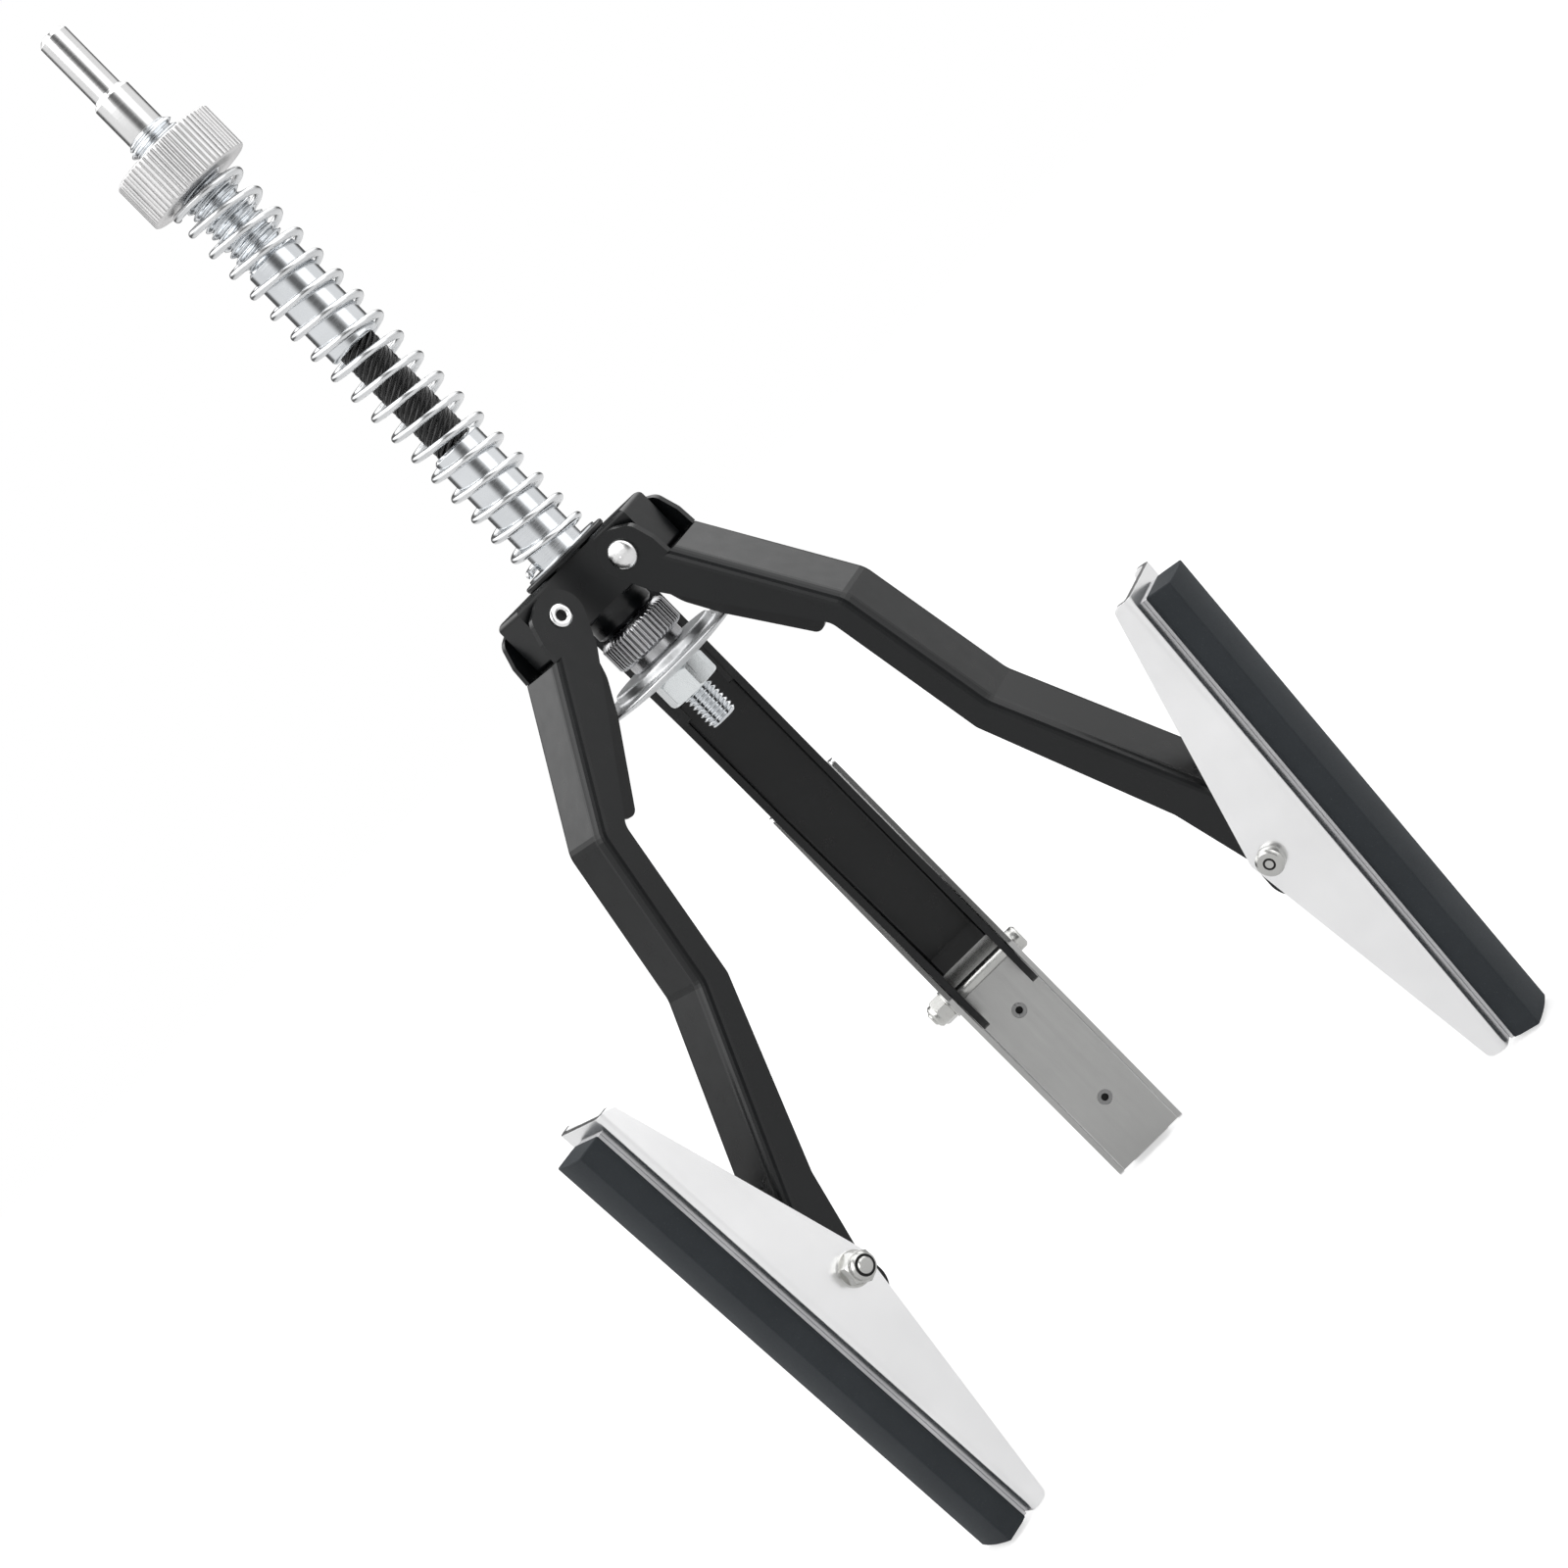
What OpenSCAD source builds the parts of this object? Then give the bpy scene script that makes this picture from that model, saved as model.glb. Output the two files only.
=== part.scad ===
// Three-leg engine cylinder hone with a flexible drive shaft.
// The frame: +Z runs up the drive shaft, the origin is the shoulder where the shank meets the collar.
// Leg 1 points along +Y, legs 2 and 3 follow at 120 degree steps.

/* [Drive end] */
// Diameter of the shank that a drill chuck grips
shank_d = 6; // [5:0.1:8]
// Length of the shank above the collar
shank_len = 14.5; // [10:0.5:40]
// Diameter of the smooth collar under the shank
collar_d = 7.8; // [7:0.1:9.2]
// Length of the collar
collar_len = 9; // [5:0.5:20]
// Outer diameter of the drive end's thread
thread_d = 10; // [9:0.5:10.5]
// Length of the thread
thread_len = 30; // [24:0.5:40]
// Outer diameter of the two plated ferrules
ferrule_d = 10.5; // [9.5:0.1:11]
// Length of the upper ferrule's tube below the thread
upper_tube_len = 21.6; // [14:0.2:40]

/* [Flexible cable] */
// Diameter of the stranded cable
cable_d = 7.8; // [6:0.1:8.6]
// Free length of cable between the ferrules
cable_len = 24.5; // [12:0.5:60]
// Depth of the cable in each ferrule
crimp_depth = 12; // [8:0.5:14]

/* [Tension nut] */
// Outer diameter over the knurl
nut_d = 21.6; // [18:0.2:28]
// Height of the nut
nut_h = 9.6; // [7:0.2:14]
// Thread left bare between the collar and the nut
nut_drop = 3.5; // [2:0.1:6]
// Number of ridges in the knurl
nut_ridges = 60; // [40:1:80]

/* [Spring] */
// Outer diameter of the coil
spring_d = 15.1; // [14.5:0.1:17]
// Wire diameter
wire_d = 1.5; // [1:0.1:1.6]
// Number of turns, wound left-handed
spring_turns = 18; // [12:1:24]
// Outer diameter of the washer that the spring sits on
washer_d = 15.8; // [15.2:0.1:18]
// Thickness of that washer
washer_t = 0.5; // [0.4:0.1:1]

/* [Hub] */
// Height of the tube between the cable and the top of the hub's plate
tube_bare = 27.4; // [22:0.2:60]
// Diameter of the thin plate on top of the hub
plate_d = 18.6; // [16:0.2:20]
// Thickness of that plate
plate_t = 1; // [0.8:0.1:1.5]
// Diameter of the hub's middle
hub_d = 14.6; // [13.6:0.2:15]
// Radius of the concave corners between the lugs
hub_blend = 14; // [11:0.5:15]
// Diameter of the hub's lower sleeve
sleeve_d = 12.6; // [12:0.1:14]
// Depth of the sleeve's end below the hub pins
sleeve_drop = 9.4; // [9:0.1:14]
// Distance from the axis to each hub pin
pin_r = 13.3; // [13:0.1:14]
// Distance from the axis to the end of a lug
lug_end = 17.8; // [17.2:0.1:18.2]
// Width of a lug
lug_w = 9.5; // [8.5:0.1:9.6]
// Height of a lug above the pins
lug_up = 6; // [5.5:0.1:6.2]
// Depth of a lug below the pins
lug_down = 5.4; // [4:0.1:5.6]
// Diameter of a hub rivet's shank
rivet_d = 3.6; // [3:0.1:4]

/* [Stud] */
// Diameter of the threaded stud
stud_d = 6; // [5:0.5:6]
// Depth of the stud's end below the hub pins
stud_drop = 34.5; // [32:0.5:50]
// Outer diameter of the knurled limit nut
limit_d = 15; // [13:0.2:17]
// Height of the limit nut
limit_h = 6.2; // [5:0.1:8]
// Number of ridges on the limit nut
limit_ridges = 36; // [24:1:48]
// Height of the smooth boss under the limit nut
boss_h = 2.1; // [1.5:0.1:4]
// Diameter of the expander disc's raised crown
disc_top_d = 23; // [18:0.2:26]
// Height of the expander disc, crown to dished underside
disc_h = 3.8; // [3:0.1:5]
// Depth of the lip's upper face below the crown
lip_drop = 1.6; // [1.2:0.1:2.2]
// Thickness of the disc's thin outer lip
lip_t = 0.6; // [0.5:0.1:1.2]
// Width across flats of the hex nut
hex_af = 10; // [9:0.5:10]
// Height of the hex nut
hex_h = 5; // [4:0.1:6]

/* [Legs] */
// Outer width of a leg
leg_w = 15.2; // [15.2:0.1:18]
// Sheet thickness of a leg
leg_t = 1.5; // [1.2:0.1:1.5]
// Radius of the ears round the hub rivet
ear_r = 4.9; // [4.2:0.1:5]
// Outer bend radius between a leg's web and its flanges
web_bend = 2.2; // [1.6:0.1:2.6]
// Radius of the S bends along a leg
leg_bend = 7; // [4:0.5:9]
// Sheet thickness of a cam channel
cam_t = 1.1; // [0.8:0.1:1.2]

/* [Shoes] */
// Distance from the axis to a shoe's bolt
bolt_r = 63.4; // [62.5:0.1:64.5]
// Depth of the shoe bolts below the hub pins
bolt_drop = 114.3; // [113.5:0.1:115]
// Diameter of the shoe bolts
bolt_d = 3; // [2.5:0.5:3.5]
// Length of a shoe
shoe_len = 103.4; // [80:0.2:120]
// Sheet thickness of a shoe
shoe_t = 1.1; // [0.9:0.1:1.4]
// Distance from the bolt to the outer face of the shoe's base
base_out = 10.8; // [10:0.1:13]
// Height of a cheek at its narrow ends
cheek_end = 3.5; // [3:0.1:5]
// Lean of each shoe, top outwards
shoe_lean = [3.1, 3.1, 4]; // [0:0.1:6]

/* [Stones] */
// Length of a stone
stone_len = 101.6; // [75:0.1:105]
// Width of a stone
stone_w = 10.4; // [8:0.1:14]
// Thickness of a stone at its crown
stone_t = 5.8; // [3:0.1:8]
// Thickness of the backing strip
strip_t = 0.7; // [0.5:0.1:1]
// Shift of the stone towards the shoe's lower end
stone_shift = 1.5; // [0:0.1:3]

/* [Clearances] */
// Radial running clearance of a pin or shaft in its hole
running = 0.05; // [0.02:0.01:0.1]
// Gap between parts that slide or swing past each other
side_gap = 0.25; // [0.15:0.05:0.3]
// Gap between the disc's lip and the cam channels
cam_gap = 0.35; // [0.2:0.05:1]
// Gap between the spring's ends and their seats
seat_gap = 0.25; // [0.1:0.05:0.5]

/* [Hidden] */
$fn = 64;

leg_angles = [90, 210, 330];

// Stations along the axis
collar_z = -collar_len;
thread_z = collar_z - thread_len;
upper_z = thread_z - upper_tube_len;
lower_z = upper_z - cable_len;
plate_z = lower_z - tube_bare;
pin_z = plate_z - plate_t - lug_up;
sleeve_z = pin_z - sleeve_drop;
limit_z = sleeve_z - 0.4;
disc_z = limit_z - limit_h - boss_h;
hex_z = disc_z - disc_h - 0.1;
stud_z = pin_z - stud_drop;
nut_z = collar_z - nut_drop;
chamfer = 0.6;

// Corners of a web's outer face, top to bottom, as distance from the axis and height above the pins
web_line = [
    [21.1, -5.4],
    [38.9, -31.5],
    [45.1, -61.5],
    [bolt_r + 4.5, 8.2 - bolt_drop],
    [bolt_r + 4.7, 4.3 - bolt_drop]];
leg_deep = 45;
bend_facets = 2;
leg_in_w = leg_w - 2 * leg_t;
cam_w = leg_in_w - 0.1;
cam_belly = [18.5, -19.7];
cam_heel = [29.9, -34];

// ---------- helpers ----------

function unit(v) = v / norm(v);
function cross2(a, b) = a.x * b.y - a.y * b.x;

// The arc that rounds the corner b of the path a, b, c with radius r
function corner(a, b, c, r, steps = 6) =
    let (u = unit(a - b), w = unit(c - b), half = acos(u * w) / 2,
         cut = r / tan(half), centre = b + unit(u + w) * r / sin(half),
         p = b + u * cut - centre, turn = (cross2(u, w) > 0 ? -1 : 1) * (180 - 2 * half))
    r == 0 ? [b] :
    [for (i = [0:steps])
        let (s = turn * i / steps) centre + [p.x * cos(s) - p.y * sin(s), p.x * sin(s) + p.y * cos(s)]];

// A polygon whose points are [x, y, corner radius]
function rounded(pts) =
    let (n = len(pts), xy = [for (p = pts) [p.x, p.y]])
    [for (i = [0:n - 1]) each corner(xy[(i + n - 1) % n], xy[i], xy[(i + 1) % n], pts[i].z)];

module chamfered_rod(r, z_low, z_high, c_low = 0, c_high = 0) {
    rotate_extrude()
        polygon([[0, z_low], [r - c_low, z_low], [r, z_low + c_low],
                 [r, z_high - c_high], [r - c_high, z_high], [0, z_high]]);
}

// A straight knurl: a ring of ridges between the root and crest radii
module knurl(crest, depth, count, h) {
    linear_extrude(h)
        polygon([for (i = [0:4 * count - 1])
            let (a = 90 * i / count, r = (i % 4 < 2) ? crest : crest - depth)
            [r * cos(a), r * sin(a)]]);
}

module on_leg(i) {
    rotate([0, 0, leg_angles[i]]) translate([0, 0, pin_z]) children();
}

// The side view of a leg, drawn as distance from the axis against height above the pins
module across(w) {
    rotate([90, 0, 0]) linear_extrude(w, center = true) children();
}

module pin_hole(at, r, w) {
    translate([at.x, 0, at.y]) rotate([90, 0, 0]) cylinder(r = r, h = w, center = true);
}

// ---------- drive shaft ----------

module drive_ferrule() {
    color("silver") difference() {
        union() {
            chamfered_rod(shank_d / 2, -1, shank_len, 0, 0.8);
            chamfered_rod(collar_d / 2, collar_z - 1, 0, 0, 0.5);
            chamfered_rod(thread_d / 2, thread_z - 1, collar_z, 0, 0.9);
            chamfered_rod(ferrule_d / 2, upper_z, thread_z, 0.5, 0.4);
        }
        translate([0, 0, upper_z - 1])
            cylinder(d = cable_d + 2 * running, h = crimp_depth + 1);
    }
}

module tension_nut() {
    color("gainsboro") translate([0, 0, nut_z - nut_h]) difference() {
        intersection() {
            knurl(nut_d / 2, 0.35, nut_ridges, nut_h);
            chamfered_rod(nut_d / 2 + 0.05, 0, nut_h, chamfer, chamfer);
        }
        translate([0, 0, -1]) cylinder(d = thread_d + 2 * running, h = nut_h + 2);
        for (z = [0, nut_h])
            translate([0, 0, z]) rotate([z > 0 ? 180 : 0, 0, 0])
                translate([0, 0, -0.01])
                    cylinder(d1 = thread_d + 2, d2 = thread_d, h = 1);
    }
}

// The coil is one tube of six sides, swept with eight rings a turn. Half a turn at each end is
// drawn in to lie flatter on its seat, and one wire diameter runs straight at each end.
spring_top = nut_z - nut_h - seat_gap - wire_d / 2;
spring_bottom = plate_z + washer_t + seat_gap + wire_d / 2;
coil_r = (spring_d - wire_d) / 2;
rings_per_turn = 8;
wire_sides = 6;
coil_steps = spring_turns * rings_per_turn;
flat_share = 0.35;

function eased(u) = let (e = 1 / (2 * spring_turns) * (1 + flat_share))
    u < e ? u * (1 - flat_share) / 1
    : u > 1 - e ? 1 - (1 - u) * (1 - flat_share)
    : let (a = e * (1 - flat_share)) a + (u - e) * (1 - 2 * a) / (1 - 2 * e);

function coil_point(i) =
    let (u = i / coil_steps, a = 180 + 360 * spring_turns * u)
    [coil_r * cos(a), coil_r * sin(a), spring_top + (spring_bottom - spring_top) * eased(u)];

coil_line = let (first = coil_point(0), last = coil_point(coil_steps),
                 end_a = 180 + 360 * spring_turns)
    concat([first + wire_d * [sin(180), -cos(180), 0]],
           [for (i = [0:coil_steps]) coil_point(i)],
           [last + wire_d * [-sin(end_a), cos(end_a), 0]]);

// Least distance between centre lines a turn apart, less the wire, measured on the points
coil_gap = min([for (i = [0:coil_steps - rings_per_turn])
    norm(coil_point(i) - coil_point(i + rings_per_turn))]) - wire_d;
echo(least_gap_of_spring_to_itself = coil_gap);

function tube_ring(line, i, r, sides) =
    let (n = len(line), a = line[max(i - 1, 0)], b = line[min(i + 1, n - 1)],
         along = unit(b - a), side = unit(cross([0, 0, 1], along)), up = cross(along, side))
    [for (k = [0:sides - 1])
        let (t = 360 * k / sides) line[i] + r * (side * cos(t) + up * sin(t))];

module tube(line, r, sides) {
    n = len(line);
    points = [for (i = [0:n - 1]) each tube_ring(line, i, r, sides)];
    walls = [for (i = [0:n - 2], k = [0:sides - 1])
        let (a = i * sides + k, b = i * sides + (k + 1) % sides, c = a + sides, d = b + sides)
        each [[a, c, b], [b, c, d]]];
    low_end = [for (k = [1:sides - 2]) [0, k, k + 1]];
    high_end = [for (k = [1:sides - 2])
        let (z = (n - 1) * sides) [z, z + k + 1, z + k]];
    polyhedron(points, concat(walls, low_end, high_end));
}

module tension_spring() {
    color("whitesmoke") tube(coil_line, wire_d / 2, wire_sides);
}

module flexible_cable() {
    color("dimgray")
        chamfered_rod(cable_d / 2, lower_z - crimp_depth + 0.3, upper_z + crimp_depth - 0.3, 0.5, 0.5);
}

// ---------- lower shaft ----------

module lower_ferrule() {
    color("silver") difference() {
        union() {
            chamfered_rod(ferrule_d / 2 - 0.1, limit_z, lower_z, 0.4, 0.5);
            chamfered_rod(stud_d / 2, stud_z, limit_z + 1, 0.7, 0);
        }
        translate([0, 0, lower_z - crimp_depth])
            cylinder(d = cable_d + 2 * running, h = crimp_depth + 1);
        translate([0, 0, lower_z - 0.6])
            cylinder(d1 = cable_d, d2 = cable_d + 1.3, h = 0.61);
    }
}

module limit_nut() {
    color("dimgray") translate([0, 0, limit_z - limit_h - boss_h]) difference() {
        union() {
            translate([0, 0, boss_h]) intersection() {
                knurl(limit_d / 2, 0.5, limit_ridges, limit_h);
                chamfered_rod(limit_d / 2 + 0.05, 0, limit_h, 0.75, 1.1);
            }
            chamfered_rod(limit_d / 2 - 1.6, 0, boss_h + 0.5, 0.4, 0);
        }
        translate([0, 0, -1]) cylinder(d = stud_d + 2 * running, h = limit_h + boss_h + 2);
    }
}

// The cams' inner edges pass the disc at this distance from the axis, at the height of its lip
lip_z = disc_z - lip_drop - pin_z - lip_t / 2;
cam_at_lip = cam_belly.x + (cam_belly.y - lip_z) * (cam_heel.x - cam_belly.x) / (cam_belly.y - cam_heel.y);
lip_r = sqrt(pow(cam_at_lip - cam_gap, 2) + pow(cam_w / 2 - cam_t / 2, 2));

// A pressed disc: flat crown, thin lip under the cams, dished underside
module expander_disc() {
    crown = disc_top_d / 2;
    color("lightsteelblue") translate([0, 0, disc_z]) difference() {
        rotate_extrude(convexity = 4) polygon(concat(
            [[0, -disc_h], [6, -disc_h]],
            [for (u = [0.15:0.17:0.83]) [6 + (lip_r - 6.4) * u, -disc_h + (disc_h - lip_drop - lip_t) * pow(u, 1.7)]],
            [[lip_r - 0.2, -lip_drop - lip_t], [lip_r, -lip_drop - lip_t + 0.2], [lip_r, -lip_drop - 0.2],
             [lip_r - 0.2, -lip_drop], [crown + 0.6, -lip_drop - 0.2], [crown + 0.15, -lip_drop + 0.15],
             [crown, -0.3], [crown - 0.3, 0], [0, 0]]));
        translate([0, 0, -disc_h - 1]) cylinder(d = stud_d + 2 * running, h = disc_h + 2);
    }
}

module hex_nut() {
    color("azure") translate([0, 0, hex_z - hex_h]) difference() {
        intersection() {
            rotate([0, 0, 43]) cylinder(d = hex_af / cos(30), h = hex_h, $fn = 6);
            chamfered_rod(hex_af / cos(30) / 2 + 0.05, 0, hex_h, 0.6, 0.6);
        }
        translate([0, 0, -1]) cylinder(d = stud_d + 2 * running, h = hex_h + 2);
    }
}

module spring_washer() {
    color("white") translate([0, 0, plate_z]) difference() {
        cylinder(d = washer_d, h = washer_t);
        translate([0, 0, -1]) cylinder(d = ferrule_d + 0.2, h = washer_t + 2);
    }
}

// ---------- hub ----------

module lug() {
    h = lug_up + lug_down;
    translate([0, 0, (lug_up - lug_down) / 2]) rotate([90, 0, 90])
        linear_extrude(lug_end) polygon(rounded([
            [-lug_w / 2, -h / 2, 1], [lug_w / 2, -h / 2, 1], [lug_w / 2, h / 2, 1], [-lug_w / 2, h / 2, 1]]));
}

module lug_envelope() {
    across(lug_w + 1) polygon(rounded([
        [0, -lug_down, 0], [lug_end, -lug_down, 1.2], [lug_end, lug_up, 1.2], [0, lug_up, 0]]));
}

// Plan of the body: three arms with large concave corners between them
function arm_end(i, side) = let (a = leg_angles[i % 3], t = side * (lug_w / 2 - 0.1))
    [15 * cos(a) - t * sin(a), 15 * sin(a) + t * cos(a)];

function arm_corner(i) = let (a = leg_angles[i] + 60, r = (lug_w / 2 - 0.1) / sin(60)) [r * cos(a), r * sin(a)];

module hub_body() {
    translate([0, 0, 0.5 - lug_down]) linear_extrude(lug_up + lug_down - 0.8)
        polygon([for (i = [0:2]) each concat([arm_end(i, -1), arm_end(i, 1)],
            corner(arm_end(i, 1), arm_corner(i), arm_end(i + 1, -1), hub_blend, 10))]);
    rotate_extrude() polygon([
        [0, -sleeve_drop], [sleeve_d / 2 - 0.6, -sleeve_drop], [sleeve_d / 2, 0.6 - sleeve_drop],
        [sleeve_d / 2, -lug_down - 2], [sleeve_d / 2 + 0.2, -lug_down - 1.2],
        [hub_d / 2 - 0.2, 0.2 - lug_down], [hub_d / 2, 1 - lug_down], [hub_d / 2, lug_up], [0, lug_up]]);
}

module hub() {
    color("#202224") difference() {
        union() {
            translate([0, 0, plate_z - plate_t]) chamfered_rod(plate_d / 2, 0, plate_t, 0.2, 0.2);
            translate([0, 0, pin_z]) hub_body();
            for (i = [0:2]) on_leg(i) intersection() {
                lug();
                lug_envelope();
            }
        }
        translate([0, 0, sleeve_z - 1])
            cylinder(d = ferrule_d - 0.2 + 2 * running, h = plate_z - sleeve_z + 2);
        for (i = [0:2]) on_leg(i) pin_hole([pin_r, 0], rivet_d / 2 + running, lug_w + 2);
    }
}

// ---------- legs ----------

function heading(a, b) = atan2(b.x - a.x, a.y - b.y);

heads = [for (i = [0:3]) heading(web_line[i], web_line[i + 1])];

// Facets that round the bend at a corner of the web line: each touches the same arc
function facets(i) =
    let (turn = heads[i] - heads[i - 1], side = turn < 0 ? 1 : -1,
         dir = unit(web_line[i] - web_line[i - 1]),
         start = web_line[i] - dir * leg_bend * tan(abs(turn) / 2),
         centre = start - side * leg_bend * [cos(heads[i - 1]), sin(heads[i - 1])])
    [for (j = [1:bend_facets])
        let (h = heads[i - 1] + turn * j / (bend_facets + 1))
        [centre + side * leg_bend * [cos(h), sin(h)], h]];

function stretch(i) = [web_line[i], heads[i]];

// Cross-section of the space under the web's outer face, from one depth inwards
module channel_section(w, depth, bend) {
    polygon(rounded([[depth, -w / 2, bend], [leg_deep, -w / 2, 0], [leg_deep, w / 2, 0], [depth, w / 2, bend]]));
}

// A straight channel whose outer face runs along one line
module slab(line, w, depth, bend, reach = 150) {
    translate([line[0].x, 0, line[0].y]) rotate([0, 180 - line[1], 0])
        translate([0, 0, -reach]) linear_extrude(2 * reach) channel_section(w, depth, bend);
}

// The bent channel. Where the web turns inwards its stretches cut each other,
// where it turns outwards they and two short facets add to each other
module bent_channel(w, depth, bend) {
    for (first = [0, 2]) intersection() {
        slab(stretch(first), w, depth, bend);
        slab(facets(first + 1)[0], w, depth, bend);
        slab(facets(first + 1)[1], w, depth, bend);
        slab(stretch(first + 1), w, depth, bend);
    }
    for (line = facets(2)) slab(line, w, depth, bend, 12);
}

// Outline of a leg's flanges seen from the side
inner_line = [[12.3, -8.3], [33.4, -33.5], [39.5, -64], [55.3, -98.1], [bolt_r - 4, 2 - bolt_drop]];
tip_centre = [bolt_r + 0.4, -bolt_drop - 4.2];
tip_r = 4.7;

module leg_outline() {
    translate([pin_r, 0]) circle(r = ear_r);
    translate(tip_centre) circle(r = tip_r);
    polygon(rounded([
        [web_line[0].x + 3, web_line[0].y + 0.15, 0], [web_line[0].x - 1, web_line[0].y + 0.25, 0],
        [web_line[0].x - 1.3, -1.4, 1.5], [18.3, 3, 2.4], [pin_r + 1.5, ear_r - 0.25, 0], [pin_r, 0, 0], [pin_r - ear_r * 0.9, -ear_r * 0.44, 0], [inner_line[0].x, inner_line[0].y, 2],
        [inner_line[1].x, inner_line[1].y, 4], [inner_line[2].x, inner_line[2].y, 4],
        [inner_line[3].x, inner_line[3].y, 4], [inner_line[4].x, inner_line[4].y, 2],
        [tip_centre.x - tip_r, tip_centre.y, 0], [tip_centre.x + tip_r, tip_centre.y, 0],
        [tip_centre.x + tip_r, 3.2 - bolt_drop, 0],
        [web_line[3].x + 3, web_line[3].y, 0], [web_line[2].x + 6, web_line[2].y, 0],
        [web_line[1].x + 6, web_line[1].y, 0]]));
}

module leg_blank() {
    intersection() {
        across(leg_w) leg_outline();
        union() {
            bent_channel(leg_w, 0, web_bend);
            // the ears, above the web
            translate([pin_r - 8, -leg_w / 2, web_line[0].y + 0.3]) cube([16, leg_w, 14]);
            // the tips, below the web
            translate([bolt_r - 8, -leg_w / 2, -bolt_drop - 12]) cube([16, leg_w, 17]);
        }
    }
}

module hollow_leg() {
    difference() {
        leg_blank();
        bent_channel(leg_in_w, leg_t, web_bend - leg_t + 0.1);
    }
}

module leg(i) {
    color("#26282a") on_leg(i) difference() {
        difference() {
            hollow_leg();
            // between the tips, past the web's end
            translate([bolt_r - 9, -leg_in_w / 2, -bolt_drop - 13]) cube([20, leg_in_w, 13 + 4.3]);
        }
        // between the ears, above the web's end
        translate([pin_r - 9, -leg_in_w / 2, web_line[0].y + 0.2]) cube([20, leg_in_w, 14]);
        pin_hole([pin_r, 0], rivet_d / 2 + 0.02, leg_w + 2);
        pin_hole([bolt_r, -bolt_drop], bolt_d / 2 + running, leg_w + 2);
    }
}

// The cam channel is nested in the leg's upper stretch and ends at the first bend
module cam_outline() {
    head = heading(web_line[0], web_line[1]);
    out = [cos(head), sin(head)];
    translate([pin_r, 0]) circle(r = ear_r - 0.7);
    polygon(rounded([
        [pin_r + 2, -2, 0], [pin_r - 3.6, -2, 0], [12.7, -8.6, 2], [14.4, -13.4, 8], [cam_belly.x, cam_belly.y, 8],
        [cam_heel.x, cam_heel.y, 1.6], [cam_heel.x + out.x * 12, cam_heel.y + out.y * 12, 0],
        [web_line[0].x + 2, web_line[0].y - 3, 0], [pin_r + 3.6, -5.2, 1.5]]));
}

module cam_channel(i) {
    inside = cam_w - 2 * cam_t;
    color("#1c1d1f") on_leg(i) difference() {
        difference() {
            intersection() {
                across(cam_w) cam_outline();
                slab(stretch(0), cam_w, leg_t + 0.05, 1.5);
            }
            slab(stretch(0), inside, leg_t + 0.05 + cam_t, 0.6);
        }
        // room for the lug to swing above the web's end
        translate([pin_r - 9, -inside / 2, web_line[0].y - 1]) cube([20, inside, 15]);
        pin_hole([pin_r, 0], rivet_d / 2 + 0.02, leg_w + 2);
    }
}

// Domed head on one side, rolled hollow tail on the other
module hub_rivet(i) {
    head_r = 2.85;
    head_h = 1.5;
    color("white") on_leg(i) translate([pin_r, 0, 0]) rotate([-90, 0, 0]) rotate_extrude() polygon(concat(
        [[0, -leg_w / 2 - head_h]],
        [for (a = [15:15:75]) [head_r * sin(a), -leg_w / 2 - 0.3 - (head_h - 0.3) * cos(a)]],
        [[head_r, -leg_w / 2 - 0.3], [head_r, -leg_w / 2], [rivet_d / 2, -leg_w / 2], [rivet_d / 2, leg_w / 2],
         [rivet_d / 2 + 0.4, leg_w / 2], [rivet_d / 2 + 0.4, leg_w / 2 + 0.4], [rivet_d / 2, leg_w / 2 + 0.7],
         [rivet_d / 2 - 0.5, leg_w / 2 + 0.7], [rivet_d / 2 - 0.8, leg_w / 2 + 0.4],
         [rivet_d / 2 - 0.8, leg_w / 2 - 3], [0, leg_w / 2 - 3.5]]));
}

// ---------- shoes ----------

shoe_in_w = leg_w + 2 * side_gap;
shoe_w = shoe_in_w + 2 * shoe_t;

// Places a shoe's own frame at its bolt: x outwards from the bolt, z along the shoe
module on_shoe(i) {
    on_leg(i) translate([bolt_r, 0, -bolt_drop]) rotate([0, shoe_lean[i], 0]) children();
}

module cheek_outline() {
    low = base_out - cheek_end;
    polygon(rounded([
        [base_out + 1, -shoe_len / 2, 0], [low, -shoe_len / 2, 1.4], [-3.9, 0.8, 3], [low, shoe_len / 2, 1.4],
        [base_out + 1, shoe_len / 2, 0]]));
}

module shoe_section(w, out, bend) {
    polygon(rounded([[-8, -w / 2, 0], [out, -w / 2, bend], [out, w / 2, bend], [-8, w / 2, 0]]));
}

// Rivet stations along the base
rivet_at = [-38, -12.6, 12.6, 38];
shoe_rivet_r = 1.6;

module shoe_channel(i) {
    color("#e8e9ea") on_shoe(i) difference() {
        intersection() {
            across(shoe_w) cheek_outline();
            translate([0, 0, -shoe_len / 2]) linear_extrude(shoe_len) shoe_section(shoe_w, base_out, 1.5);
        }
        translate([0, 0, -shoe_len / 2 - 1]) linear_extrude(shoe_len + 2)
            shoe_section(shoe_in_w, base_out - shoe_t, 0.5);
        pin_hole([0, 0], bolt_d / 2 + 0.02, shoe_w + 2);
        for (z = rivet_at) translate([base_out - 3, 0, z * shoe_len / 103.4]) rotate([0, 90, 0])
            cylinder(r = shoe_rivet_r + 0.02, h = 6);
    }
}

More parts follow.
